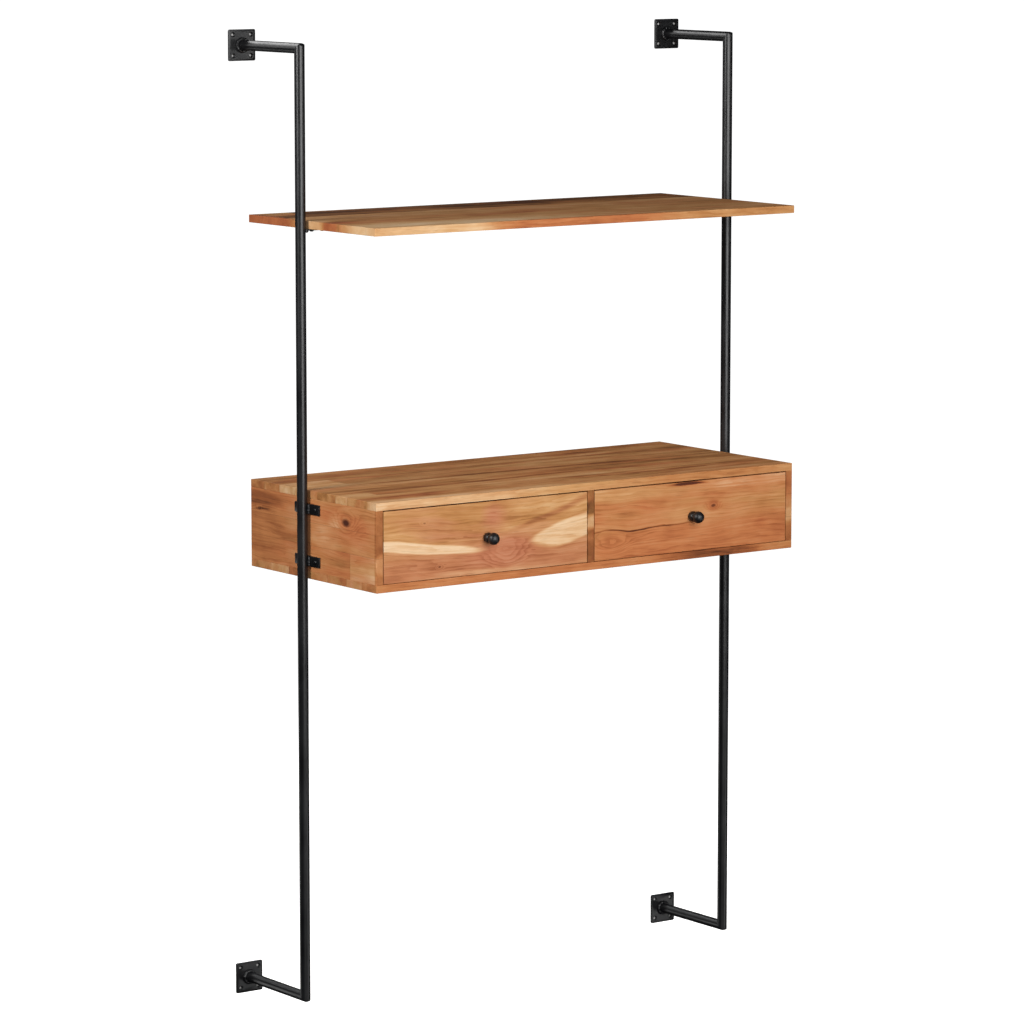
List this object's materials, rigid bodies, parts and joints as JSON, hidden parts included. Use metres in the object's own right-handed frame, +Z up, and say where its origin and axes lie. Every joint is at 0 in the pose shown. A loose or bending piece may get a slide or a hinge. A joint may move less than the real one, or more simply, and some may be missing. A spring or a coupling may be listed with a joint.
{
  "type": "wall-mounted desk",
  "caption": "Wall desk of solid wood on slim black tube frames with wall plates: a case with drawers on round knobs, and a long shelf above it.",
  "frame": {"origin": "on the wall plane, midway between the four wall plates", "axes": "+Z up, +X to the right along the wall as seen from the front, +Y into the wall, so the drawers face -Y"},
  "size_m": [1.0864, 0.465, 1.88],
  "materials": {
    "black_steel": "satin black powder coat on steel tube and bar",
    "black_screw": "black round-head screws",
    "black_knob": "satin black turned metal",
    "acacia": "oiled solid acacia, edge-glued staves",
    "acacia_front": "oiled solid acacia, bold figure",
    "drawer_wood": "plain planed hardwood",
    "panel": "thin plywood",
    "dowel": "beech dowel",
    "zinc": "zinc-plated steel"
  },
  "bodies": {
    "desk": {"left_upright_tube": "black_steel", "left_top_arm": "black_steel", "left_bottom_arm": "black_steel", "left_top_wall_plate": "black_steel", "left_bottom_wall_plate": "black_steel", "left_upper_case_tab": "black_steel", "left_lower_case_tab": "black_steel", "left_shelf_lug": "black_steel", "left_case_tab_screws": "black_screw", "left_shelf_lug_screws": "black_screw", "right_upright_tube": "black_steel", "right_top_arm": "black_steel", "right_bottom_arm": "black_steel", "right_top_wall_plate": "black_steel", "right_bottom_wall_plate": "black_steel", "right_upper_case_tab": "black_steel", "right_lower_case_tab": "black_steel", "right_shelf_lug": "black_steel", "right_case_tab_screws": "black_screw", "right_shelf_lug_screws": "black_screw", "shelf_board": "acacia", "case_top_board": "acacia", "case_bottom_board": "acacia", "case_left_side": "acacia", "case_right_side": "acacia", "case_divider": "acacia", "case_back_panel": "panel", "case_dowels": "dowel", "back_panel_pins": "zinc"},
    "left_drawer": {"left_drawer_front": "acacia_front", "left_drawer_left_side": "drawer_wood", "left_drawer_right_side": "drawer_wood", "left_drawer_back": "drawer_wood", "left_drawer_bottom": "panel", "left_drawer_bottom_pins": "zinc", "left_drawer_knob": "black_knob", "left_drawer_knob_screw": "zinc"},
    "right_drawer": {"right_drawer_front": "acacia_front", "right_drawer_left_side": "drawer_wood", "right_drawer_right_side": "drawer_wood", "right_drawer_back": "drawer_wood", "right_drawer_bottom": "panel", "right_drawer_bottom_pins": "zinc", "right_drawer_knob": "black_knob", "right_drawer_knob_screw": "zinc"}
  },
  "joints": [
    {"name": "left_drawer_slide", "type": "slide", "parent": "desk", "child": "left_drawer", "axis": [0, -1, 0], "range_m": [0, 0.3]},
    {"name": "right_drawer_slide", "type": "slide", "parent": "desk", "child": "right_drawer", "axis": [0, -1, 0], "range_m": [0, 0.3]}
  ]
}
